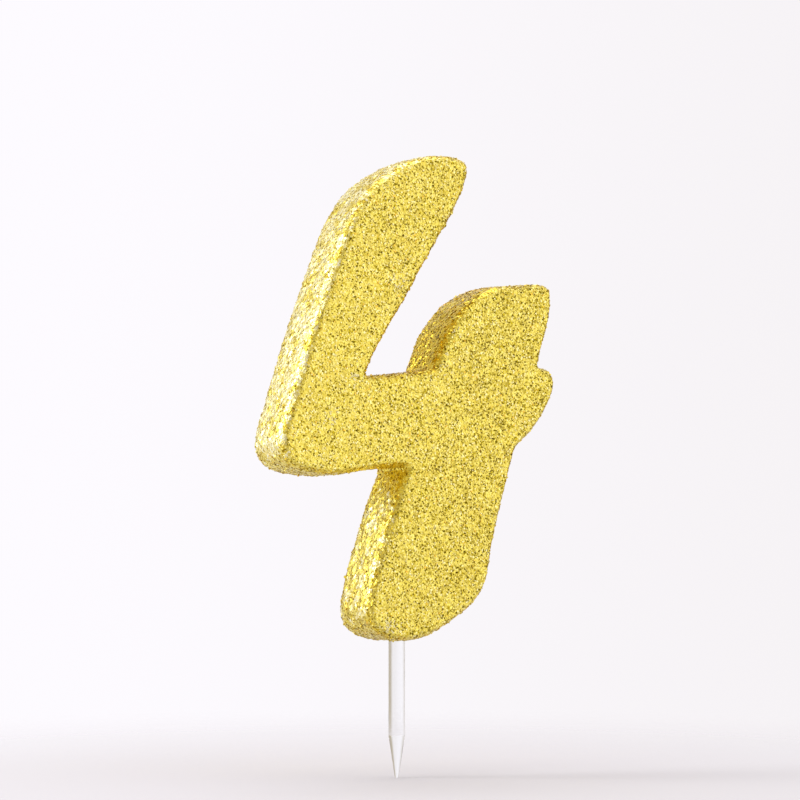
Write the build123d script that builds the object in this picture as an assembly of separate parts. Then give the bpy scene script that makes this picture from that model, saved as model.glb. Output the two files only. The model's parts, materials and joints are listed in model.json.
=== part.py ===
from build123d import *
import math
import os

# Numeral birthday candle, figure 4. Millimetres.
# Frame: +Z up, +X to the right of the figure as read, -Y is the front face, +Y the back.
# Origin: on the axis of the cake pick, where the pick leaves the underside of the foot.

# ---- driving dimensions -------------------------------------------------
THICK = 8.9          # front face to back face, glitter included
EDGE_R = 0.95        # roll-over of the front and back edges
COAT = 0.30          # glitter and lacquer layer on the wax
TIP_R = 1.3          # plan radius of the outward corners
NOOK_R = 0.45        # plan radius of the inward corners

PICK_R = 1.20        # pick shaft
PICK_SHAFT = 14.0    # straight shaft below the foot
PICK_POINT = 6.0     # taper below the shaft
PICK_END_R = 0.25    # blunt end of the taper
SPIGOT_R = 1.00      # reduced end of the pick that goes up into the foot
SPIGOT_LEN = 14.0
SOCKET_R = 1.05      # hole in the foot, a running fit on the spigot
SOCKET_LEN = 14.2

WICK_R = 0.60        # braided cotton wick
WICK_EXIT = (2.2, 67.6)   # x, z of the wick's hole in the back face, near the top of the arm
WICK_STRAIGHT = 0.9  # straight run in from the back face
WICK_BEND = 2.5      # bend from the hole into the line of the arm
WICK_RUN = 36.0      # buried run down the arm
WICK_LEAN = (-0.42, -0.9075)  # x, z direction of that run
TAIL_LEN = 8.6       # free tail, from the fold to its end
TAIL_GAP = 0.05      # the tail lies this far off the back face

# ---- plan outline of the figure, glitter included, anticlockwise -----------
# Each span is a smooth curve; spans meet at the corners.
SPANS = [
    # top of the arm and down its left side to the foot of the arm, then along the underside
    [(9.90, 69.62), (6.95, 70.32), (3.59, 70.10), (0.47, 69.24), (-2.28, 67.94), (-4.52, 66.48),
     (-6.71, 64.79), (-8.51, 62.61), (-10.34, 59.49), (-12.77, 53.70), (-15.03, 47.93), (-17.16, 42.12),
     (-19.38, 35.32), (-21.10, 30.15), (-21.47, 27.03), (-20.22, 24.87), (-17.30, 23.78), (-12.90, 23.46),
     (-8.04, 24.10), (-3.24, 24.68), (-0.62, 24.74)],
    # left side of the stem below the crossbar, round the foot, up the right side
    [(-0.62, 24.74), (-1.50, 22.77), (-2.42, 20.51), (-4.20, 15.51), (-5.99, 10.38), (-7.11, 5.89),
     (-7.32, 3.84), (-6.58, 1.98), (-4.38, 0.85), (-1.10, 0.09), (2.10, 0.24), (5.44, 1.62), (8.46, 3.40),
     (11.01, 5.28), (12.82, 7.79), (13.82, 12.04), (15.28, 17.78), (17.00, 23.57), (17.75, 26.05), (18.45, 28.10)],
    # the crossbar's blunt right end
    [(18.45, 28.10), (19.55, 28.90), (21.84, 31.07), (24.54, 34.93), (25.45, 37.80), (24.81, 39.30), (22.46, 39.75)],
    # right side of the stem above the crossbar
    [(22.46, 39.75), (22.95, 42.10), (23.94, 44.96), (24.90, 49.29), (24.70, 52.30)],
    # top of the stem and down its left side
    [(24.70, 52.30), (22.10, 52.35), (18.22, 51.95), (14.61, 51.45), (12.15, 50.34), (9.88, 48.86), (8.24, 47.13),
     (6.72, 45.23), (5.10, 41.99), (4.25, 39.95), (3.91, 38.90)],
    # top of the crossbar
    [(3.91, 38.90), (-1.67, 38.00), (-8.05, 37.45)],
    # right side of the arm
    [(-8.05, 37.45), (-7.00, 39.45), (-4.00, 44.51), (-1.32, 48.50), (1.86, 53.64), (4.47, 57.69), (6.92, 61.64),
     (9.60, 67.20), (9.90, 69.62)],
]
OUTWARD = [0, 4]     # spans whose first point is an outward corner; the others are nooks


def smooth(points):
    if len(points) == 2:
        return Line(*[(x, z) for x, z in points])
    return Spline(*[(x, z) for x, z in points])


def cross(a, b):
    return a[0] * b[1] - a[1] * b[0]


def inset_spans(amount):
    """The spans moved into the material by amount, re-cut to meet at their corners."""
    if amount == 0:
        return [list(s) for s in SPANS]
    moved, ends = [], []
    for span in SPANS:
        edge = smooth(span)
        count = len(span) - 1
        row = []
        for i in range(count + 1):
            u = edge.param_at_point(Vector(*span[i])) if 0 < i < count else (0.0 if i == 0 else 1.0)
            t = edge % u
            # anticlockwise outline: the material is on the left of the direction of travel
            row.append((span[i][0] - t.Y * amount, span[i][1] + t.X * amount, t.X, t.Y))
        moved.append(row)
    out = []
    for k, row in enumerate(moved):
        before = moved[k - 1][-1]
        after = moved[(k + 1) % len(moved)][0]

        def meet(a, b):
            d = cross((a[2], a[3]), (b[2], b[3]))
            s = cross((b[0] - a[0], b[1] - a[1]), (b[2], b[3])) / d
            return (a[0] + a[2] * s, a[1] + a[3] * s)

        first = meet(before, row[0])
        last = meet(row[-1], after)
        out.append([first] + [(p[0], p[1]) for p in row[1:-1]] + [last])
    return out


def figure(amount, name):
    """The solid figure inside the glitter's outer surface by amount on every side."""
    spans = inset_spans(amount)
    plane = Plane(origin=(0, THICK / 2 - amount, 0), x_dir=(1, 0, 0), z_dir=(0, -1, 0))
    edges = [plane * smooth(s) for s in spans]
    face = Face(Wire(edges))
    depth = THICK - 2 * amount
    body = extrude(face, amount=depth, dir=(0, -1, 0))
    body = Solid(body.wrapped) if not isinstance(body, Solid) else body

    def at_corner(solid, x, z):
        ups = [e for e in solid.edges() if e.geom_type == GeomType.LINE and abs(e.length - depth) < 1e-6]
        return min(ups, key=lambda e: math.hypot(e.center().X - x, e.center().Z - z))

    corners = [s[0] for s in spans]
    out_edges = [at_corner(body, *corners[k]) for k in OUTWARD]
    body = body.fillet(TIP_R - amount, out_edges)
    in_edges = [at_corner(body, *corners[k]) for k in range(len(spans)) if k not in OUTWARD]
    body = body.fillet(NOOK_R + amount, in_edges)
    rims = [
        e
        for e in body.edges()
        if abs(e.bounding_box().min.Y - e.bounding_box().max.Y) < 1e-5
    ]
    body = body.fillet(EDGE_R - amount, rims)
    print(name, "volume", round(body.volume, 1), "faces", len(body.faces()))
    return body


os.makedirs("parts", exist_ok=True)

outer = figure(0.0, "outer")
inner = figure(COAT, "inner")

# ---- pick socket and wick channel -------------------------------------------
socket = Pos(0, 0, -1.0) * Cylinder(SOCKET_R, SOCKET_LEN + 1.0, align=(Align.CENTER, Align.CENTER, Align.MIN))

back = THICK / 2
ex, ez = WICK_EXIT
lx, lz = WICK_LEAN
n = math.hypot(lx, lz)
lx, lz = lx / n, lz / n
p0 = Vector(ex, back, ez)
p1 = Vector(ex, back - WICK_STRAIGHT, ez)
c = p1 + Vector(lx, 0, lz) * WICK_BEND
h = math.sqrt(0.5)
mid = c + (Vector(-lx, 0, -lz) + Vector(0, -1, 0)) * (h * WICK_BEND)
p2 = c + Vector(0, -1, 0) * WICK_BEND
p3 = p2 + Vector(lx, 0, lz) * WICK_RUN
route = Wire([Edge.make_line(p0, p1), Edge.make_three_point_arc(p1, mid, p2), Edge.make_line(p2, p3)])
section = Plane(origin=p0, z_dir=(0, -1, 0)) * Circle(WICK_R)
wick_core = sweep(section, path=route)
print("wick core volume", round(wick_core.volume, 2), "expected",
      round(math.pi * WICK_R**2 * (WICK_STRAIGHT + WICK_BEND * math.pi / 2 + WICK_RUN), 2))

wax_numeral = inner - socket - wick_core
glitter_coat = outer - inner - socket - wick_core

# ---- free tail of the wick, folded down against the back -------------------
fold = Vector(ex, back + TAIL_GAP + WICK_R, ez)
tail = Pos(fold) * Sphere(WICK_R)
tail += Pos(fold) * Cylinder(WICK_R, TAIL_LEN - 0.2, align=(Align.CENTER, Align.CENTER, Align.MAX))
end = Pos(fold.X, fold.Y, fold.Z - TAIL_LEN + 0.2) * Cone(WICK_R - 0.2, WICK_R, 0.2, align=(Align.CENTER, Align.CENTER, Align.MAX))
wick_tail = tail + end

# ---- cake pick -----------------------------------------------------------------
profile = Polyline(
    (0, -PICK_SHAFT - PICK_POINT),
    (PICK_END_R, -PICK_SHAFT - PICK_POINT),
    (PICK_R, -PICK_SHAFT),
    (PICK_R, 0),
    (SPIGOT_R, 0),
    (SPIGOT_R, SPIGOT_LEN - 0.35),
    (SPIGOT_R - 0.35, SPIGOT_LEN),
    (0, SPIGOT_LEN),
    (0, -PICK_SHAFT - PICK_POINT),
)
cake_pick = revolve(Plane.XZ * make_face(profile), axis=Axis.Z, revolution_arc=360)

NODES = {
    "wax_numeral": wax_numeral,
    "glitter_coat": glitter_coat,
    "wick_core": wick_core,
    "wick_tail": wick_tail,
    "cake_pick": cake_pick,
}
for name, shape in NODES.items():
    solids = shape.solids()
    print(name, "solids", len(solids), "volume", round(sum(s.volume for s in solids), 2))
    shape.label = name
    export_step(shape, f"parts/{name}.step")

print("fold at", tuple(round(v, 3) for v in (fold.X, fold.Y, fold.Z)))
box = outer.bounding_box()
print("figure box", [round(v, 2) for v in (*box.min, *box.max)])
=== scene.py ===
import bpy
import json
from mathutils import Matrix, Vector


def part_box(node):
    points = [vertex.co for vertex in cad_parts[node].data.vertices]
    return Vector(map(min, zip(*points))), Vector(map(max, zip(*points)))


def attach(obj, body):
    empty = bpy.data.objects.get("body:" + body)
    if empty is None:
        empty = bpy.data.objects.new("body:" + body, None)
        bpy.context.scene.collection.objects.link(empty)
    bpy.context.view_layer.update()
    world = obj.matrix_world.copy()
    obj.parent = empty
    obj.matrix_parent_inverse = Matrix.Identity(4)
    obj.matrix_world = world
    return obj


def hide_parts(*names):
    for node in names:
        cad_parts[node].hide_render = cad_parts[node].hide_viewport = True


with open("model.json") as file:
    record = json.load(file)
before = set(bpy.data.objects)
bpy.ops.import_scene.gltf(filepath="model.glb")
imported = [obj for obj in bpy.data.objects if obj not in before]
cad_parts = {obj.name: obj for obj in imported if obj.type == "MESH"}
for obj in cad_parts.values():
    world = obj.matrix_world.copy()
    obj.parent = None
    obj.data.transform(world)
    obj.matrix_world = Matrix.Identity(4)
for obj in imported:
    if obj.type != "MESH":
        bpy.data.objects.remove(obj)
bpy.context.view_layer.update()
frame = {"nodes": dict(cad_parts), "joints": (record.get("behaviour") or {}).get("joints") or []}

import json
import math

import bmesh
import bpy
import numpy as np
from mathutils import Matrix, Vector

MM = 0.001
scene = bpy.context.scene
scene.view_settings.view_transform = "Standard"
scene.view_settings.look = "None"
rng = np.random.default_rng(4)

coat_lo, coat_hi = (np.array(v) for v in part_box("glitter_coat"))
pick_lo, pick_hi = (np.array(v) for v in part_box("cake_pick"))
tail_lo, tail_hi = (np.array(v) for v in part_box("wick_tail"))
FRONT, BACK = coat_lo[1], coat_hi[1]
fold = next(j for j in frame["joints"] if j["name"] == "wick_fold")
HINGE = np.array(fold["pos_m"])
PICK_R, SPIGOT_R, SOCKET_R, WICK_R = 1.2 * MM, 1.0 * MM, 1.05 * MM, 0.6 * MM


# ---------------------------------------------------------------- camera
# left of the front and a little below the middle of the figure, looking up at it
yaw, pitch = math.radians(32.77), math.radians(3.74)
look = Vector((math.sin(yaw) * math.cos(pitch), math.cos(yaw) * math.cos(pitch), math.sin(pitch)))
aim = Vector((-2.3 * MM, FRONT, 34.2 * MM))
cam_data = bpy.data.cameras.new("camera")
cam_data.sensor_width = 36.0
cam_data.lens = 108.0
cam_data.clip_start = 0.01
cam_data.clip_end = 20.0
cam = bpy.data.objects.new("camera", cam_data)
cam.location = aim - look * 344.33 * MM
cam.rotation_euler = look.to_track_quat("-Z", "Y").to_euler()
scene.collection.objects.link(cam)
scene.camera = cam


# ---------------------------------------------------------------- node helpers
def new_material(name):
    mat = bpy.data.materials.new(name)
    mat.use_nodes = True
    nt = mat.node_tree
    return mat, nt, nt.nodes["Principled BSDF"]


def add(nt, kind, **settings):
    node = nt.nodes.new(kind)
    for key, value in settings.items():
        if key in node.inputs:
            node.inputs[key].default_value = value
        else:
            setattr(node, key, value)
    return node


def ramp(nt, source, stops, interpolation="LINEAR"):
    node = nt.nodes.new("ShaderNodeValToRGB")
    node.color_ramp.interpolation = interpolation
    elements = node.color_ramp.elements
    while len(elements) < len(stops):
        elements.new(0.5)
    for element, (at, colour) in zip(elements, stops):
        element.position = at
        element.color = (*colour, 1.0)
    nt.links.new(source, node.inputs["Fac"])
    return node.outputs["Color"]


def mixed(nt, fac, a, b, blend="MIX"):
    node = nt.nodes.new("ShaderNodeMix")
    node.data_type = "RGBA"
    node.blend_type = blend
    for socket, value in ((node.inputs["Factor"], fac), (node.inputs["A"], a), (node.inputs["B"], b)):
        if isinstance(value, bpy.types.NodeSocket):
            nt.links.new(value, socket)
        elif isinstance(value, (int, float)):
            socket.default_value = value
        else:
            socket.default_value = (*value, 1.0)
    return node.outputs["Result"]


def fill_mesh(mesh, co, sizes, corners, materials=None):
    """Builds a mesh from flat arrays: corner counts per face, then every face's corners."""
    mesh.vertices.add(len(co))
    mesh.vertices.foreach_set("co", np.asarray(co, np.float32).ravel())
    mesh.loops.add(len(corners))
    mesh.loops.foreach_set("vertex_index", np.asarray(corners, np.int32))
    mesh.polygons.add(len(sizes))
    starts = np.r_[0, np.cumsum(sizes)[:-1]]
    mesh.polygons.foreach_set("loop_start", starts.astype(np.int32))
    if materials is not None:
        mesh.polygons.foreach_set("material_index", np.asarray(materials, np.int32))
    mesh.update(calc_edges=True)
    mesh.validate()
    return mesh


def new_object(name, mesh, *materials):
    ob = bpy.data.objects.new(name, mesh)
    scene.collection.objects.link(ob)
    for mat in materials:
        mesh.materials.append(mat)
    return ob


def shade(mesh, smooth):
    mesh.polygons.foreach_set("use_smooth", [smooth] * len(mesh.polygons))


def evaluated(ob):
    bpy.context.view_layer.update()
    dg = bpy.context.evaluated_depsgraph_get()
    return bpy.data.meshes.new_from_object(ob.evaluated_get(dg))


# ---------------------------------------------------------------- glitter coat
# The coat is built from the CAD coat's outer skin: remeshed fine, then every point is
# nudged so that each small facet is a flake lying at its own tilt in the lacquer.
CELL = 0.273         # mm, facet size
NUDGE = 0.037        # mm, spread of the points' heights


# lumps where glitter gathered in the lacquer, and pale spots, some of them painted highlights copying glints on the
# shoulder's front edge and beside the notch: x, y, z, radius in mm
LUMPS = [(7.3, -3.9, 62.0, 0.30), (6.1, -3.9, 59.9, 0.27), (3.3, -4.0, 55.4, 0.24), (-1.8, -4.0, 48.7, 0.27), (-6.2, -4.0, 45.6, 0.20),
         (14.9, 3.6, 8.2, 0.24), (23.9, 3.4, 46.1, 0.22), (-18.0, 3.7, 40.5, 0.24), (1.4, 3.8, 68.8, 0.22)]
SMUDGES_AND_GLINTS = [(-2.5, -4.4, 50.9, 0.75), (-2.9, -4.4, 52.0, 0.55), (7.3, -4.4, 44.8, 0.55), (5.8, -4.4, 41.4, 0.55), (4.5, -4.4, 39.2, 0.55),
           (-9.9, -4.4, 37.4, 0.50), (-3.8, -4.4, 1.8, 1.0),
           (-13.9, -4.4, 31.0, 0.8), (9.0, 4.4, 20.0, 0.9), (-8.0, 4.4, 41.0, 0.7)]


def nearness(points, spots):
    """1 at the nearest spot's middle, falling away past its radius."""
    best = np.zeros(len(points))
    for x, y, z, radius in spots:
        best = np.maximum(best, np.exp(-((points - [x, y, z]) ** 2).sum(1) / (2 * radius ** 2)))
    return best


def outer_skin():
    """The outer surface of the glitter coat as a closed mesh, in mm, with the pick and wick holes filled."""
    bm = bmesh.new()
    bm.from_mesh(frame["nodes"]["glitter_coat"].data)
    bmesh.ops.scale(bm, vec=(1000, 1000, 1000), verts=bm.verts)
    bmesh.ops.remove_doubles(bm, verts=bm.verts, dist=1e-4)
    hx, hz = HINGE[0] * 1000, HINGE[2] * 1000
    walls = []
    for f in bm.faces:
        # the two holes' walls: every corner of the face lies on the hole's radius
        if all(v.co.z < 1.0 and abs(math.hypot(v.co.x, v.co.y) - 1.05) < 0.01 for v in f.verts):
            walls.append(f)
        elif all(v.co.y > 4.0 and abs(math.hypot(v.co.x - hx, v.co.z - hz) - 0.6) < 0.01 for v in f.verts):
            walls.append(f)
    bmesh.ops.delete(bm, geom=walls, context="FACES")
    start = max(bm.verts, key=lambda v: v.co.z)
    keep, todo = {start}, [start]
    while todo:
        v = todo.pop()
        for e in v.link_edges:
            w = e.other_vert(v)
            if w not in keep:
                keep.add(w)
                todo.append(w)
    bmesh.ops.delete(bm, geom=[v for v in bm.verts if v not in keep], context="VERTS")
    bmesh.ops.holes_fill(bm, edges=[e for e in bm.edges if e.is_boundary], sides=0)
    bmesh.ops.recalc_face_normals(bm, faces=bm.faces)
    mesh = bpy.data.meshes.new("skin")
    bm.to_mesh(mesh)
    open_edges = sum(1 for e in bm.edges if not e.is_manifold)
    bm.free()
    print("outer skin", len(mesh.polygons), "faces,", open_edges, "open edges", flush=True)
    return mesh


def facet_solid():
    ob = new_object("skin_tmp", outer_skin())
    m = ob.modifiers.new("remesh", "REMESH")
    m.mode = "VOXEL"
    m.voxel_size = CELL
    fine = evaluated(ob)
    skin_mesh = ob.data
    bpy.data.objects.remove(ob)
    n = len(fine.vertices)
    co = np.empty(n * 3, np.float32)
    fine.vertices.foreach_get("co", co)
    co = co.reshape(-1, 3).astype(float)
    no = np.empty(n * 3, np.float32)
    fine.vertex_normals.foreach_get("vector", no)
    no = no.reshape(-1, 3).astype(float)
    loops = np.empty(len(fine.loops), np.int32)
    fine.loops.foreach_get("vertex_index", loops)
    sizes = np.empty(len(fine.polygons), np.int32)
    fine.polygons.foreach_get("loop_total", sizes)
    quads = loops.reshape(-1, 4) if (sizes == 4).all() else None
    print("remeshed to", n, "points", len(sizes), "faces, all quads:", quads is not None, flush=True)
    # a hand-dipped coat is never quite even: slow swells under the facets
    from mathutils import noise
    side = 1 - np.clip((np.abs(no[:, 1]) - 0.55) / 0.35, 0, 1)       # 0 on the faces, 1 on the walls
    swell = np.array([noise.noise(Vector(p) * 0.42) * 0.045 + noise.noise(Vector(p) * 1.3 + Vector((9, 3, 5))) * (0.022 + 0.100 * k)
                      + noise.noise(Vector(p) * 2.3 + Vector((2, 7, 1))) * 0.060 * k for p, k in zip(co, side)])
    # lacquer runs thin at the rims, so the walls are a little crowned
    swell += side * (0.12 - 0.22 * (np.clip(np.abs(co[:, 1]), 0, 4.2) / 4.0) ** 4)
    swell += 0.30 * nearness(co, LUMPS)
    # the coat sagged a little at the lowest point of the foot before it set, clear of the pick
    swell += (0.50 * np.exp(-((co[:, 0] + 4.2) / 2.6) ** 2 / 2) * np.clip((2.5 - co[:, 2]) / 2, 0, 1) * np.clip((-no[:, 2] - 0.2) / 0.4, 0, 1)
              * np.clip((np.hypot(co[:, 0], co[:, 1]) - 1.5) / 1.2, 0, 1))
    t1 = np.cross(no, [0.31, 0.52, 0.79])
    t1 /= np.linalg.norm(t1, axis=1)[:, None]
    t2 = np.cross(no, t1)
    a = rng.uniform(-0.32 * CELL, 0.32 * CELL, (n, 2))
    up = np.clip(rng.normal(0, 1, n), -2.2, 2.2) * NUDGE * (1 - 0.7 * side) * (0.52 + 0.48 * np.clip((co[:, 0] + 22) / 34, 0, 1))
    moved = co + no * (swell + up)[:, None] + t1 * a[:, :1] + t2 * a[:, 1:]
    # each quad is cut along a random diagonal
    flip = rng.random(len(quads)) < 0.5
    q = quads
    tri = np.where(flip[:, None], np.c_[q[:, 0], q[:, 1], q[:, 2], q[:, 0], q[:, 2], q[:, 3]],
                   np.c_[q[:, 0], q[:, 1], q[:, 3], q[:, 1], q[:, 2], q[:, 3]])
    tri = tri.reshape(-1, 3)
    mesh = bpy.data.meshes.new("facets")
    fill_mesh(mesh, moved, np.full(len(tri), 3), tri.ravel())
    # the loose flakes lie on the swelled surface, at its own slope
    base = co + no * swell[:, None]
    face = np.cross(base[tri[:, 1]] - base[tri[:, 0]], base[tri[:, 2]] - base[tri[:, 0]])
    slope = np.zeros_like(base)
    for k in range(3):
        np.add.at(slope, tri[:, k], face)
    slope /= np.linalg.norm(slope, axis=1)[:, None]
    return mesh, base, slope, tri, skin_mesh


def tool_mesh(name, bm):
    mesh = bpy.data.meshes.new(name)
    bmesh.ops.recalc_face_normals(bm, faces=bm.faces)
    bm.to_mesh(mesh)
    bm.free()
    return mesh


def wax_blank():
    """The wax figure's outer surface in mm, as the part gives it: what the coat leaves room for."""
    bm = bmesh.new()
    bm.from_mesh(frame["nodes"]["wax_numeral"].data)
    bmesh.ops.scale(bm, vec=(1000, 1000, 1000), verts=bm.verts)
    bmesh.ops.remove_doubles(bm, verts=bm.verts, dist=1e-4)
    return tool_mesh("wax_blank", bm)


facets, base_co, base_no, base_tri, skin_mesh = facet_solid()
coat_ob = new_object("glitter_bed", facets)


def cut(ob, mesh, operation="DIFFERENCE"):
    tool = new_object("tool_tmp", mesh)
    m = ob.modifiers.new("cut", "BOOLEAN")
    m.operation = operation
    m.object = tool
    m.solver = "MANIFOLD"
    out = evaluated(ob)
    ob.modifiers.clear()
    print("cut", mesh.name, "faces", len(ob.data.polygons), "->", len(out.polygons), flush=True)
    ob.data = out
    bpy.data.objects.remove(tool)


# room for the wax, then the pick's and the wick's holes through the coat
def cylinder_tool(name, radius, start, end, sides=64):
    start, end = Vector(start), Vector(end)
    bm = bmesh.new()
    bmesh.ops.create_cone(bm, cap_ends=True, segments=sides, radius1=radius, radius2=radius, depth=(end - start).length)
    turn = (end - start).to_track_quat("Z", "Y").to_matrix().to_4x4()
    bmesh.ops.transform(bm, matrix=Matrix.Translation((start + end) / 2) @ turn, verts=bm.verts)
    return tool_mesh(name, bm)


cut(coat_ob, wax_blank())
cut(coat_ob, cylinder_tool("socket_cut", SOCKET_R * 1000, (0, 0, -1.5), (0, 0, 14.2)))
hx, hz = HINGE[0] * 1000, HINGE[2] * 1000
cut(coat_ob, cylinder_tool("wick_cut", WICK_R * 1000 + 0.02, (hx, 3.6, hz), (hx, 5.4, hz)))
coat_ob.data.transform(Matrix.Scale(MM, 4))
coat_ob.data.update()
shade(coat_ob.data, False)


def glitter_bed_material(name, coat, coat_roughness, coat_ior, rough, tones):
    """Fine gold glitter in clear lacquer: each cell is one flake with its own tone and gloss."""
    mat, nt, bsdf = new_material(name)
    coord = add(nt, "ShaderNodeTexCoord")
    cells = add(nt, "ShaderNodeTexVoronoi", feature="F1", distance="EUCLIDEAN", Scale=4600.0, Randomness=1.0)
    nt.links.new(coord.outputs["Object"], cells.inputs["Vector"])
    split = add(nt, "ShaderNodeSeparateColor")
    nt.links.new(cells.outputs["Color"], split.inputs["Color"])
    tone = ramp(nt, split.outputs["Red"], list(zip((0.00, 0.10, 0.15, 0.32, 0.70, 0.90, 1.00), tones)))
    slow = add(nt, "ShaderNodeTexNoise", Scale=260.0, Detail=3.0, Roughness=0.55)
    nt.links.new(coord.outputs["Object"], slow.inputs["Vector"])
    tint = ramp(nt, slow.outputs["Fac"], [(0.30, (0.90, 0.87, 0.80)), (0.55, (1.0, 1.0, 1.0)), (0.75, (1.0, 0.985, 0.93))])
    nt.links.new(mixed(nt, 1.0, tone, tint, "MULTIPLY"), bsdf.inputs["Base Color"])
    gloss = add(nt, "ShaderNodeMapRange")
    gloss.inputs["To Min"].default_value = rough[0]
    gloss.inputs["To Max"].default_value = rough[1]
    nt.links.new(split.outputs["Green"], gloss.inputs["Value"])
    nt.links.new(gloss.outputs["Result"], bsdf.inputs["Roughness"])
    bsdf.inputs["Metallic"].default_value = 0.9
    bsdf.inputs["Coat Weight"].default_value = coat
    bsdf.inputs["Coat Roughness"].default_value = coat_roughness
    bsdf.inputs["Coat IOR"].default_value = coat_ior
    return mat


# seen from the front, how deep a point stands inside the figure's taut outline: it steers the painted shade, deep
# saturated gold in the notches where the figure shades itself, and keeps the pale painted highlight off the notches
outline_turn = np.linspace(0, 2 * math.pi, 72, endpoint=False)
outline_dir = np.stack([np.cos(outline_turn), np.sin(outline_turn)])
outline_reach = (base_co[:, [0, 2]] @ outline_dir).max(0)


def depth(points):
    """0 on the outer walls, 1 deep in a notch, for points in mm."""
    return np.clip(((outline_reach - points[:, [0, 2]] @ outline_dir).min(1) - 8.0) / 5.5, 0, 1)


def rolled(normals):
    """0 on the flat of a wall, 1 once the surface rolls over towards a face."""
    return np.clip((np.abs(normals[:, 1]) - 0.10) / 0.30, 0, 1)


def painted_shade_share(points, normals):
    """The share of points (mm) given deep, saturated gold as painted shade: in the notches, below the crossbar too, on
    the shoulder wall the arm shades, and along the rolled edges.
    """
    notch = depth(points) * np.where(points[:, 2] < 37, np.clip((points[:, 2] - 18.5) / 3.5, 0, 1), 1)
    shoulder = 0.9 * ((points[:, 0] > 0) & (points[:, 2] > 38) & (points[:, 2] < 56) & (normals[:, 0] < -0.2))
    return np.maximum(np.maximum(notch, shoulder), 0.75 * rolled(normals) * np.clip((0.70 - np.abs(normals[:, 1])) / 0.2, 0, 1))


def shaded_stem_wall(points, normals):
    """1 on the stem's left walls, below the crossbar and above it, which the crossbar and the arm shade: these get
    painted shade, deeper wall flakes and less of the pale painted highlight.
    """
    below = np.clip((34 - points[:, 2]) / 4, 0, 1) * np.clip((points[:, 0] + 13) / 3, 0, 1)
    above = 2.2 * ((points[:, 0] > 0) & (points[:, 2] > 38) & (points[:, 2] < 58))
    return np.clip((-normals[:, 0] - 0.1) / 0.4, 0, 1) * np.maximum(below, above)


def wet_painted_highlight(points, normals, r):
    """Which points (mm) get heavy lacquer over pale flakes, the pale tone a painted highlight: in blotches on the left
    walls that face the light, evenly spotted on the right, less on the shaded stem, the top and the rolled edges, and
    hardly on the undersides, where shade falls."""
    from mathutils import noise
    blotch = np.array([noise.noise(Vector(p) * 0.70 + Vector((5, 1, 7))) + 0.50 * noise.noise(Vector(p) * 2.1) for p in points])
    left = np.clip((-normals[:, 0] - 0.1) / 0.4, 0, 1)
    blotch = blotch * left + (r.random(len(points)) - 0.80) * (1 - left)
    under = np.clip((-normals[:, 2] - 0.25) / 0.35, 0, 1)
    top = np.clip((points[:, 2] - 57) / 6, 0, 1)
    return blotch > -0.22 + 0.75 * painted_shade_share(points, normals * [1, 0, 1]) + 0.30 * shaded_stem_wall(points, normals) + 0.06 * top + 0.8 * under + 0.25 * rolled(normals)


BED = [
    ("glitter_bed", 0.15, 0.12, 1.5, (0.20, 0.48),
     ((0.24, 0.175, 0.004), (0.30, 0.22, 0.008), (0.58, 0.46, 0.040), (0.80, 0.655, 0.085), (0.90, 0.76, 0.125), (0.95, 0.835, 0.20), (0.97, 0.885, 0.30))),
    ("glitter_bed_walls", 0.45, 0.42, 1.5, (0.34, 0.44),
     ((0.44, 0.33, 0.027), (0.52, 0.40, 0.037), (0.67, 0.53, 0.062), (0.79, 0.65, 0.090), (0.87, 0.74, 0.135), (0.93, 0.82, 0.20), (0.96, 0.87, 0.30))),
    # heavy lacquer over pale tones: the pale tones are painted highlight for the lit left walls
    ("glitter_bed_wet_highlight_walls", 1.0, 0.42, 1.85, (0.34, 0.44),
     ((0.70, 0.55, 0.085), (0.78, 0.62, 0.12), (0.84, 0.70, 0.16), (0.90, 0.77, 0.22), (0.94, 0.84, 0.31), (0.96, 0.88, 0.41), (0.97, 0.91, 0.52))),
    # deep saturated gold: painted shade in the notches, on the arm-shaded shoulder wall and along the rolled edges
    ("glitter_bed_notch_shade", 0.1, 0.2, 1.5, (0.22, 0.40),
     ((0.22, 0.14, 0.005), (0.32, 0.21, 0.008), (0.54, 0.38, 0.019), (0.76, 0.56, 0.040), (0.87, 0.66, 0.062), (0.93, 0.75, 0.100), (0.95, 0.81, 0.15))),
    # lighter orange gold: painted shadow below the crossbar, with its gold inter-reflection
    ("glitter_bed_low_notch_shadow", 0.1, 0.2, 1.5, (0.26, 0.42),
     ((0.50, 0.36, 0.018), (0.60, 0.45, 0.028), (0.78, 0.59, 0.045), (0.90, 0.71, 0.068), (0.94, 0.76, 0.090), (0.96, 0.81, 0.13), (0.97, 0.85, 0.18))),
]
coat_ob.data.materials.clear()
for spec in BED:
    coat_ob.data.materials.append(glitter_bed_material(*spec))
facing = np.empty(len(coat_ob.data.polygons) * 3, np.float32)
coat_ob.data.polygons.foreach_get("normal", facing)
middle = np.empty(len(coat_ob.data.polygons) * 3, np.float32)
coat_ob.data.polygons.foreach_get("center", middle)
on_wall = np.abs(facing.reshape(-1, 3)[:, 1]) < 0.72
wall_points = middle.reshape(-1, 3)[on_wall].astype(float) / MM
wall_normals = facing.reshape(-1, 3)[on_wall].astype(float)
slots = np.zeros(len(on_wall), np.int32)
# wall slots: pale tones as painted highlight, deep gold as painted shade, lighter orange gold as painted shadow below
# the crossbar, plain wall tones elsewhere
slots[on_wall] = np.where(wet_painted_highlight(wall_points, wall_normals, rng), 2, np.where(rng.random(len(wall_points)) < painted_shade_share(wall_points, wall_normals), np.where((wall_points[:, 2] < 37) & (depth(wall_points) > 0), 4, 3), 1))
coat_ob.data.polygons.foreach_set("material_index", slots)
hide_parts("glitter_coat")
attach(coat_ob, "numeral")


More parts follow.
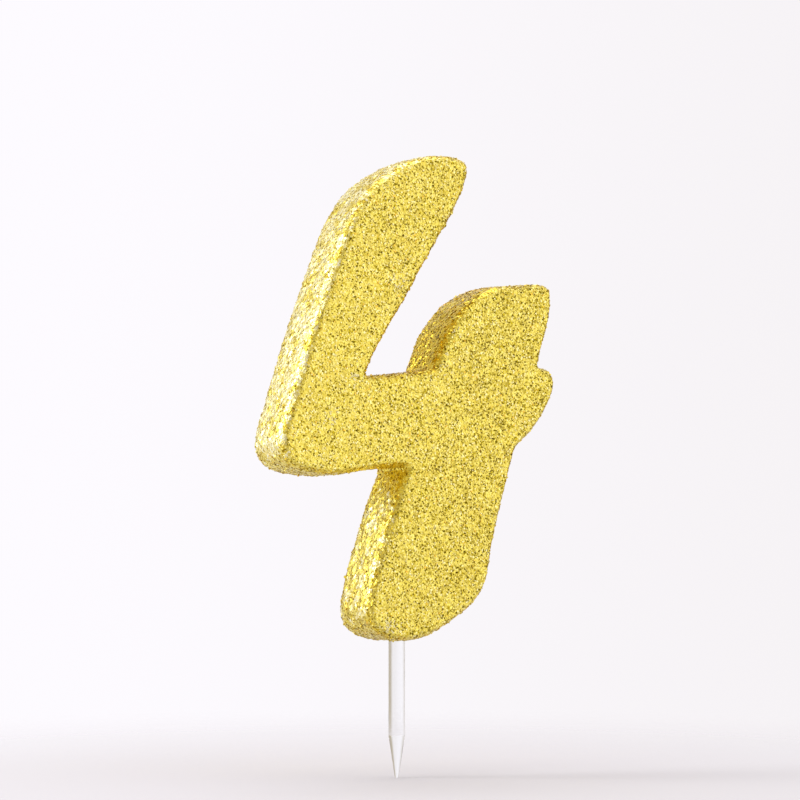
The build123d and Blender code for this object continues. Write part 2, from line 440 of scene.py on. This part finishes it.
# ---------------------------------------------------------------- loose flakes on the coat
def flake_material(name, colour, roughness, coat=0.12, coat_roughness=0.08, coat_ior=1.5):
    mat, nt, bsdf = new_material(name)
    bsdf.inputs["Base Color"].default_value = (*colour, 1.0)
    bsdf.inputs["Metallic"].default_value = 1.0
    bsdf.inputs["Roughness"].default_value = roughness
    bsdf.inputs["Coat Weight"].default_value = coat
    bsdf.inputs["Coat Roughness"].default_value = coat_roughness
    bsdf.inputs["Coat IOR"].default_value = coat_ior
    return mat


FLAKES = [
    (flake_material("flake_pale", (0.97, 0.885, 0.385), 0.37, 0.20), 0.17),
    (flake_material("flake_bright", (0.915, 0.785, 0.185), 0.36), 0.36),
    (flake_material("flake_gold", (0.87, 0.71, 0.105), 0.36), 0.22),
    (flake_material("flake_deep", (0.54, 0.41, 0.010), 0.36, 0.05), 0.13),
    (flake_material("flake_dark", (0.20, 0.145, 0.002), 0.36, 0.0), 0.135),
    (flake_material("flake_amber", (0.88, 0.56, 0.06), 0.34), 0.02),
    # pale matte flakes for the pale spots, partly painted highlight
    (flake_material("flake_milky_glint", (0.87, 0.80, 0.44), 0.60, 0.0), 0.0),
]


WET = dict(coat=1.0, coat_roughness=0.42, coat_ior=1.85)
DRY = dict(coat=0.45, coat_roughness=0.42, coat_ior=1.5)
DEEP = dict(coat=0.1, coat_roughness=0.2, coat_ior=1.5)
WALL_FLAKES = [
    (flake_material("wall_flake_bright", (0.90, 0.78, 0.20), 0.38, **DRY), 0.42),
    (flake_material("wall_flake_gold", (0.82, 0.68, 0.125), 0.38, **DRY), 0.38),
    (flake_material("wall_flake_deep", (0.68, 0.53, 0.060), 0.38, **DRY), 0.16),
    (flake_material("wall_flake_dark", (0.40, 0.29, 0.020), 0.38, **DRY), 0.02),
    (flake_material("wall_flake_amber", (0.88, 0.57, 0.055), 0.38, **DRY), 0.02),
]
# pale flakes under heavy lacquer: their pale tone is painted highlight where the light from the left strikes the walls
WET_HIGHLIGHT_FLAKES = [
    (flake_material("wet_highlight_flake_pale", (0.97, 0.92, 0.55), 0.38, **WET), 0.55),
    (flake_material("wet_highlight_flake_bright", (0.95, 0.86, 0.32), 0.38, **WET), 0.31),
    (flake_material("wet_highlight_flake_gold", (0.89, 0.735, 0.13), 0.38, **WET), 0.14),
]
# deep saturated gold flakes: painted shade in the notches, on the arm-shaded shoulder wall, below the crossbar and
# along the rolled edges
NOTCH_SHADE_FLAKES = [
    (flake_material("notch_flake_bright", (0.93, 0.755, 0.105), 0.25, **DEEP), 0.34),
    (flake_material("notch_flake_gold", (0.87, 0.66, 0.060), 0.25, **DEEP), 0.34),
    (flake_material("notch_flake_deep", (0.68, 0.49, 0.026), 0.25, **DEEP), 0.19),
    (flake_material("notch_flake_dark", (0.33, 0.22, 0.007), 0.25, **DEEP), 0.11),
    (flake_material("notch_flake_amber", (0.88, 0.54, 0.045), 0.25, **DEEP), 0.02),
]


def place_flakes(name, points, normals, radius, tilt, lift, body, seed, kinds, pick):
    """Thin six-sided flakes, each a closed tack: a flat hexagon with its point sunk in the lacquer. All in mm."""
    r = np.random.default_rng(seed)
    n = len(points)
    t1 = np.cross(normals, [0.27, 0.61, 0.74])
    t1 /= np.linalg.norm(t1, axis=1)[:, None]
    t2 = np.cross(normals, t1)
    spin = r.uniform(0, 2 * math.pi, n)
    lean = t1 * np.cos(spin)[:, None] + t2 * np.sin(spin)[:, None]
    up = normals + lean * np.tan(tilt)[:, None]
    up /= np.linalg.norm(up, axis=1)[:, None]
    e1 = np.cross(up, [0.43, 0.33, 0.84])
    e1 /= np.linalg.norm(e1, axis=1)[:, None]
    e2 = np.cross(up, e1)
    turn = r.uniform(0, math.pi / 3, n)
    centre = points + normals * lift[:, None]
    rim = []
    for k in range(6):
        a = turn + k * math.pi / 3
        rim.append(centre + (e1 * np.cos(a)[:, None] + e2 * np.sin(a)[:, None]) * radius[:, None])
    apex = centre - up * (0.10 + radius * 0.35)[:, None]
    co = np.stack(rim + [apex], 1).reshape(-1, 3)
    base = (np.arange(n) * 7)[:, None]
    cap = base + np.arange(6)
    sides = np.stack([np.concatenate([base + (k + 1) % 6, base + k, base + 6], 1) for k in range(6)], 1).reshape(n, 18)
    corners = np.concatenate([cap, sides], 1).ravel()
    sizes = np.tile([6, 3, 3, 3, 3, 3, 3], n)
    mesh = bpy.data.meshes.new(name)
    fill_mesh(mesh, co * MM, sizes, corners, np.repeat(pick, 7))
    ob = new_object(name, mesh, *[m for m, _ in kinds])
    # caps face outwards
    shade(mesh, False)
    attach(ob, body)
    return ob


tri_co = base_co[base_tri]
cross = np.cross(tri_co[:, 1] - tri_co[:, 0], tri_co[:, 2] - tri_co[:, 0])
area = np.linalg.norm(cross, axis=1) / 2
print("coat area mm2", round(float(area.sum()), 1), flush=True)


def sample(count, chosen, seed):
    r = np.random.default_rng(seed)
    w = area * chosen
    idx = r.choice(len(base_tri), count, p=w / w.sum())
    u, v = r.random(count), r.random(count)
    over = u + v > 1
    u[over], v[over] = 1 - u[over], 1 - v[over]
    p = tri_co[idx, 0] * (1 - u - v)[:, None] + tri_co[idx, 1] * u[:, None] + tri_co[idx, 2] * v[:, None]
    tn = base_no[base_tri[idx]]
    nn = tn[:, 0] * (1 - u - v)[:, None] + tn[:, 1] * u[:, None] + tn[:, 2] * v[:, None]
    nn /= np.linalg.norm(nn, axis=1)[:, None]
    # nothing over the pick's socket or the wick's hole
    near = (p[:, 2] < 0.8) & (np.hypot(p[:, 0], p[:, 1]) < 1.32)
    near |= (p[:, 1] > 3.9) & (np.hypot(p[:, 0] - hx, p[:, 2] - hz) < 0.86)
    return p[~near], nn[~near]


tri_no = base_no[base_tri].mean(1)
regions = {
    "flakes_front": (tri_no[:, 1] < -0.8, 15500, 11),
    "flakes_back": (tri_no[:, 1] > 0.8, 11000, 12),
    "flakes_sides": (np.abs(tri_no[:, 1]) <= 0.8, 17500, 13),
}
for name, (chosen, count, seed) in regions.items():
    p, nn = sample(count, chosen, seed)
    r = np.random.default_rng(seed + 100)
    k = len(p)
    sides = name == "flakes_sides"
    # towards the left of the figure the flakes lie flatter and fewer of them are dark
    rough = np.clip((p[:, 0] + 22) / 34, 0, 1)
    radius = np.clip(r.normal(0.175 if sides else 0.125, 0.028, k), 0.08, 0.24)
    tilt = np.abs(r.normal(0, 1, k)) * np.radians(4 + 9 * rolled(nn) if sides else 5.5 + 7.5 * rough)
    wild = r.random(k) < 0.035
    tilt[wild] = np.radians(r.uniform(30, 62, wild.sum()))
    lift = r.uniform(0.01, 0.075, k) + wild * 0.04
    if sides:
        kinds = WALL_FLAKES + WET_HIGHLIGHT_FLAKES + NOTCH_SHADE_FLAKES
        dry, wet_highlight, notch = (r.choice(len(group), k, p=[w for _, w in group]) for group in (WALL_FLAKES, WET_HIGHLIGHT_FLAKES, NOTCH_SHADE_FLAKES))
        # painted shade: deep and dark flakes on the stem's left walls, which the crossbar and the arm shade
        dry = np.where(r.random(k) < 0.26 * np.minimum(shaded_stem_wall(p, nn), 1), 2 + (r.random(k) < 0.4), dry)
        # brighter flakes where the arm turns over to the top: painted light on the arm's upper wall
        dry = np.where((p[:, 2] > 55) & (nn[:, 0] < -0.3) & (dry > 0) & (r.random(k) < 0.6), 0, dry)
        # below the crossbar the deep gold is lighter and more orange: painted shadow with its gold inter-reflection
        low = r.choice(len(NOTCH_SHADE_FLAKES), k, p=(0.62, 0.24, 0.05, 0.07, 0.02))
        notch = np.where((p[:, 2] < 37) & (depth(p) > 0), low, notch)
        # deep gold where the painted shade goes, pale lacquered flakes where the painted highlight goes
        pick = np.where(r.random(k) < painted_shade_share(p, nn), notch + len(WALL_FLAKES) + len(WET_HIGHLIGHT_FLAKES), dry)
        pick = np.where(wet_painted_highlight(p, nn, r), wet_highlight + len(WALL_FLAKES), pick)
        pick = np.where((nearness(p, LUMPS) > 0.25) & (r.random(k) < 0.7), len(kinds) - 2, pick)
    else:
        kinds = FLAKES
        # fewer dark and deep flakes where the face rolls over into the walls: painted light against the shade along the
        # rolled edges
        weights = np.array([w for _, w in FLAKES])[None, :] * np.where([m.name in ("flake_deep", "flake_dark") for m, _ in FLAKES],
            ((0.25 + 1.05 * rough) * np.clip((np.abs(nn[:, 1]) - 0.80) / 0.17, 0.2, 1))[:, None], 1.0)
        weights = np.cumsum(weights, axis=1)
        pick = (r.random(k)[:, None] * weights[:, -1:] > weights).sum(1)
        # pale matte flakes at the listed pale spots: partly painted highlight
        pick = np.where(r.random(k) < 0.80 * nearness(p, SMUDGES_AND_GLINTS), len(FLAKES) - 1, pick)
        pick = np.where((nearness(p, LUMPS) > 0.25) & (r.random(k) < 0.6), 4, pick)
    place_flakes(name, p, nn, radius, np.clip(tilt, 0, 1.1), lift, "numeral", seed + 200, kinds, pick)


# ---------------------------------------------------------------- wax inside
def wax_material():
    mat, nt, bsdf = new_material("paraffin_wax")
    coord = add(nt, "ShaderNodeTexCoord")
    cloud = add(nt, "ShaderNodeTexNoise", Scale=420.0, Detail=4.0, Roughness=0.6)
    nt.links.new(coord.outputs["Object"], cloud.inputs["Vector"])
    nt.links.new(ramp(nt, cloud.outputs["Fac"], [(0.3, (0.80, 0.66, 0.34)), (0.7, (0.90, 0.79, 0.49))]), bsdf.inputs["Base Color"])
    bump = add(nt, "ShaderNodeBump", Strength=0.25, Distance=0.00004)
    nt.links.new(cloud.outputs["Fac"], bump.inputs["Height"])
    nt.links.new(bump.outputs["Normal"], bsdf.inputs["Normal"])
    bsdf.inputs["Roughness"].default_value = 0.45
    bsdf.inputs["Subsurface Weight"].default_value = 0.25
    bsdf.inputs["Subsurface Radius"].default_value = (0.0012, 0.0009, 0.0005)
    return mat


def give(node, mat):
    ob = frame["nodes"][node]
    if not ob.material_slots:
        ob.data.materials.append(mat)
    for slot in ob.material_slots:
        slot.material = mat


give("wax_numeral", wax_material())


# ---------------------------------------------------------------- wick
def wick_material():
    mat, nt, bsdf = new_material("waxed_cotton")
    coord = add(nt, "ShaderNodeTexCoord")
    fibre = add(nt, "ShaderNodeTexNoise", Scale=5200.0, Detail=3.0, Roughness=0.65)
    nt.links.new(coord.outputs["Object"], fibre.inputs["Vector"])
    wax = add(nt, "ShaderNodeTexNoise", Scale=900.0, Detail=2.0)
    nt.links.new(coord.outputs["Object"], wax.inputs["Vector"])
    threads = ramp(nt, fibre.outputs["Fac"], [(0.30, (0.47, 0.43, 0.35)), (0.62, (0.70, 0.67, 0.60))])
    nt.links.new(mixed(nt, wax.outputs["Fac"], threads, (0.68, 0.65, 0.56)), bsdf.inputs["Base Color"])
    bump = add(nt, "ShaderNodeBump", Strength=0.6, Distance=0.00003)
    nt.links.new(fibre.outputs["Fac"], bump.inputs["Height"])
    nt.links.new(bump.outputs["Normal"], bsdf.inputs["Normal"])
    bsdf.inputs["Roughness"].default_value = 0.55
    bsdf.inputs["Sheen Weight"].default_value = 0.25
    return mat


WICK = wick_material()


def braid(name, path, radius, cap_start, cap_end, step=0.07, around=36):
    """A round cotton braid along path (mm): two sets of strands crossing, as raised diamonds."""
    path = np.asarray(path, float)
    seg = np.linalg.norm(np.diff(path, axis=0), axis=1)
    s = np.r_[0, np.cumsum(seg)]
    count = int(s[-1] / step) + 1
    t = np.linspace(0, s[-1], count)
    c = np.stack([np.interp(t, s, path[:, k]) for k in range(3)], 1)
    d = np.gradient(c, axis=0)
    d /= np.linalg.norm(d, axis=1)[:, None]
    # a frame carried along without twist
    n0 = np.cross(d[0], [1, 0, 0]) if abs(d[0][0]) < 0.9 else np.cross(d[0], [0, 0, 1])
    n0 /= np.linalg.norm(n0)
    frames = [n0]
    for k in range(1, count):
        v = frames[-1] - d[k] * (frames[-1] @ d[k])
        frames.append(v / np.linalg.norm(v))
    n1 = np.array(frames)
    n2 = np.cross(d, n1)
    ang = np.arange(around) * 2 * math.pi / around
    A, T = np.meshgrid(ang, t)
    k_turn = 2 * math.pi / 2.4        # one turn in 2.4 mm
    one = np.cos(4 * A + k_turn * 4 * T / 2)
    two = np.cos(4 * A - k_turn * 4 * T / 2)
    over = np.maximum(one, two)
    under = np.minimum(one, two)
    rr = radius * (0.90 + 0.085 * over + 0.025 * under)
    rr[: cap_start] *= np.sqrt(np.clip(1 - (1 - np.arange(cap_start) / max(cap_start, 1)) ** 2, 0.02, 1))[:, None]
    if cap_end:
        rr[-cap_end:] *= np.sqrt(np.clip(1 - ((np.arange(cap_end) + 1) / cap_end) ** 2 * 0.75, 0.02, 1))[:, None]
    co = c[:, None] + n1[:, None] * (np.cos(A) * rr)[..., None] + n2[:, None] * (np.sin(A) * rr)[..., None]
    co = co.reshape(-1, 3)
    i, j = np.meshgrid(np.arange(count - 1), np.arange(around), indexing="ij")
    a = i * around + j
    b = i * around + (j + 1) % around
    quads = np.stack([a, b, b + around, a + around], -1).reshape(-1, 4)
    co = np.vstack([co, c[:1], c[-1:]])
    first, last = len(co) - 2, len(co) - 1
    m = np.arange(around)
    start = np.stack([np.full(around, first), (m + 1) % around, m], 1)
    e0 = (count - 1) * around
    end = np.stack([np.full(around, last), e0 + m, e0 + (m + 1) % around], 1)
    sizes = np.r_[np.full(len(quads), 4), np.full(2 * around, 3)]
    corners = np.r_[quads.ravel(), start.ravel(), end.ravel()]
    mesh = bpy.data.meshes.new(name)
    fill_mesh(mesh, co * MM, sizes, corners)
    bm = bmesh.new()
    bm.from_mesh(mesh)
    bmesh.ops.recalc_face_normals(bm, faces=bm.faces)
    bm.to_mesh(mesh)
    bm.free()
    shade(mesh, True)
    return new_object(name, mesh, WICK)


hinge = HINGE * 1000
ex, ey, ez = hinge
back = BACK * 1000
lean = np.array([-0.42, 0, -0.9075])
lean /= np.linalg.norm(lean)
p1 = np.array([ex, back - 0.9, ez])
turn_c = p1 + lean * 2.5
arc = [turn_c + 2.5 * (-lean * math.cos(a) + np.array([0, -1, 0]) * math.sin(a)) for a in np.linspace(0, math.pi / 2, 14)]
buried = [hinge + np.array([0, 0.0, 0])] + [np.array([ex, back, ez])] + arc + [arc[-1] + lean * 35.9]
core = braid("wick_buried", buried, 0.6, 8, 0)
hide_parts("wick_core")
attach(core, "numeral")

tail_end = tail_lo[2] * 1000
wander = [hinge + np.array([0.05 * math.sin(u * 2.4), 0.0, -(ez - tail_end) * u]) for u in np.linspace(0, 0.985, 30)]
wander[0] = hinge
free = braid("wick_free", wander, 0.6, 8, 3)
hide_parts("wick_tail")
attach(free, "wick")


# ---------------------------------------------------------------- pick
def pick_material():
    mat, nt, bsdf = new_material("clear_plastic")
    coord = add(nt, "ShaderNodeTexCoord")
    stretch = add(nt, "ShaderNodeMapping")
    stretch.inputs["Scale"].default_value = (1.0, 1.0, 0.18)
    nt.links.new(coord.outputs["Object"], stretch.inputs["Vector"])
    flow = add(nt, "ShaderNodeTexNoise", Scale=900.0, Detail=3.0, Roughness=0.5)
    nt.links.new(stretch.outputs["Vector"], flow.inputs["Vector"])
    bump = add(nt, "ShaderNodeBump", Strength=0.35, Distance=0.00008)
    nt.links.new(flow.outputs["Fac"], bump.inputs["Height"])
    nt.links.new(bump.outputs["Normal"], bsdf.inputs["Normal"])
    bsdf.inputs["Base Color"].default_value = (0.955, 0.96, 0.965, 1.0)
    bsdf.inputs["Transmission Weight"].default_value = 1.0
    bsdf.inputs["Roughness"].default_value = 0.10
    bsdf.inputs["IOR"].default_value = 1.40
    return mat


give("cake_pick", pick_material())


# ---------------------------------------------------------------- floor, world and light
def floor():
    z = pick_lo[2]
    rings = [0.0, 0.004, 0.01, 0.02, 0.04, 0.07, 0.11, 0.17, 0.24, 0.32]
    seg = 128
    bm = bmesh.new()
    centre = bm.verts.new((0, 0, z))
    last = None
    for r in rings[1:]:
        ring = [bm.verts.new((r * math.cos(2 * math.pi * k / seg), r * math.sin(2 * math.pi * k / seg), z)) for k in range(seg)]
        for k in range(seg):
            if last is None:
                bm.faces.new((centre, ring[k], ring[(k + 1) % seg]))
            else:
                bm.faces.new((last[k], ring[k], ring[(k + 1) % seg], last[(k + 1) % seg]))
        last = ring
    mesh = bpy.data.meshes.new("floor")
    bm.to_mesh(mesh)
    bm.free()
    mat, nt, bsdf = new_material("pale_floor")
    bsdf.inputs["Base Color"].default_value = (0.67, 0.652, 0.675, 1.0)
    bsdf.inputs["Roughness"].default_value = 0.9
    bsdf.inputs["Specular IOR Level"].default_value = 0.0
    coord = add(nt, "ShaderNodeTexCoord")
    length = add(nt, "ShaderNodeVectorMath", operation="LENGTH")
    nt.links.new(coord.outputs["Object"], length.inputs[0])
    fade = add(nt, "ShaderNodeMapRange", interpolation_type="SMOOTHSTEP")
    fade.inputs["From Min"].default_value = 0.015
    fade.inputs["From Max"].default_value = 0.16
    fade.inputs["To Min"].default_value = 1.0
    fade.inputs["To Max"].default_value = 0.0
    nt.links.new(length.outputs["Value"], fade.inputs["Value"])
    nt.links.new(fade.outputs["Result"], bsdf.inputs["Alpha"])
    ob = new_object("floor", mesh, mat)
    return ob


floor()

world = bpy.data.worlds.new("studio")
scene.world = world
world.use_nodes = True
wt = world.node_tree
bg = wt.nodes["Background"]
coord = wt.nodes.new("ShaderNodeTexCoord")


def lobe(direction, start, full):
    """0 away from a direction of the sky, rising to 1 towards it."""
    toward = add(wt, "ShaderNodeVectorMath", operation="DOT_PRODUCT")
    wt.links.new(coord.outputs["Generated"], toward.inputs[0])
    toward.inputs[1].default_value = Vector(direction).normalized()
    side = add(wt, "ShaderNodeMapRange", interpolation_type="SMOOTHSTEP")
    side.inputs["From Min"].default_value = start
    side.inputs["From Max"].default_value = full
    wt.links.new(toward.outputs["Value"], side.inputs["Value"])
    return side.outputs["Result"]


# white all round, a little dimmer from left to right, darker towards the near side where the
# room is, far off to the right and behind on the left, and brighter where a white wall stands to the front right
dim = add(wt, "ShaderNodeMath", operation="MAXIMUM")
wt.links.new(lobe((-0.52, -0.85, 0.05), 0.30, 0.95), dim.inputs[0])
wt.links.new(lobe((0.97, 0.10, 0.0), 0.80, 0.99), dim.inputs[1])
wall = add(wt, "ShaderNodeMath", operation="MULTIPLY_ADD")
wt.links.new(lobe((-0.30, 0.84, 0.36), 0.80, 0.98), wall.inputs[0])
wall.inputs[1].default_value = 0.50
wt.links.new(dim.outputs["Value"], wall.inputs[2])
right = add(wt, "ShaderNodeMath", operation="MULTIPLY_ADD")
wt.links.new(lobe((0.97, 0.10, 0.0), 0.50, 0.78), right.inputs[0])
right.inputs[1].default_value = 0.13
wt.links.new(wall.outputs["Value"], right.inputs[2])
shaded = ramp(wt, right.outputs["Value"], [(0.0, (0.985, 0.962, 1.0)), (1.0, (0.50, 0.44, 0.34))])
lift = add(wt, "ShaderNodeMath", operation="MULTIPLY_ADD")
wt.links.new(lobe((0.62, -0.78, 0.10), 0.55, 0.95), lift.inputs[0])
lift.inputs[1].default_value = 0.48
lift.inputs[2].default_value = 1.0
wt.links.new(shaded, bg.inputs["Color"])
wt.links.new(lift.outputs["Value"], bg.inputs["Strength"])


def area_light(name, where, target, size, watts, colour=(1, 1, 1), size_y=None):
    data = bpy.data.lights.new(name, "AREA")
    data.shape = "RECTANGLE"
    data.size = size
    data.size_y = size_y or size
    data.energy = watts
    data.color = colour
    ob = bpy.data.objects.new(name, data)
    ob.location = where
    ob.rotation_euler = (Vector(target) - Vector(where)).to_track_quat("-Z", "Y").to_euler()
    ob.visible_camera = False
    scene.collection.objects.link(ob)
    return ob


centre = (0, 0, 0.035)
area_light("key_left_back", (-0.602, 0.320, 0.311), centre, 0.24, 2.5, size_y=0.45)
area_light("top", (0.0, 0.05, 0.60), centre, 0.35, 0.8)
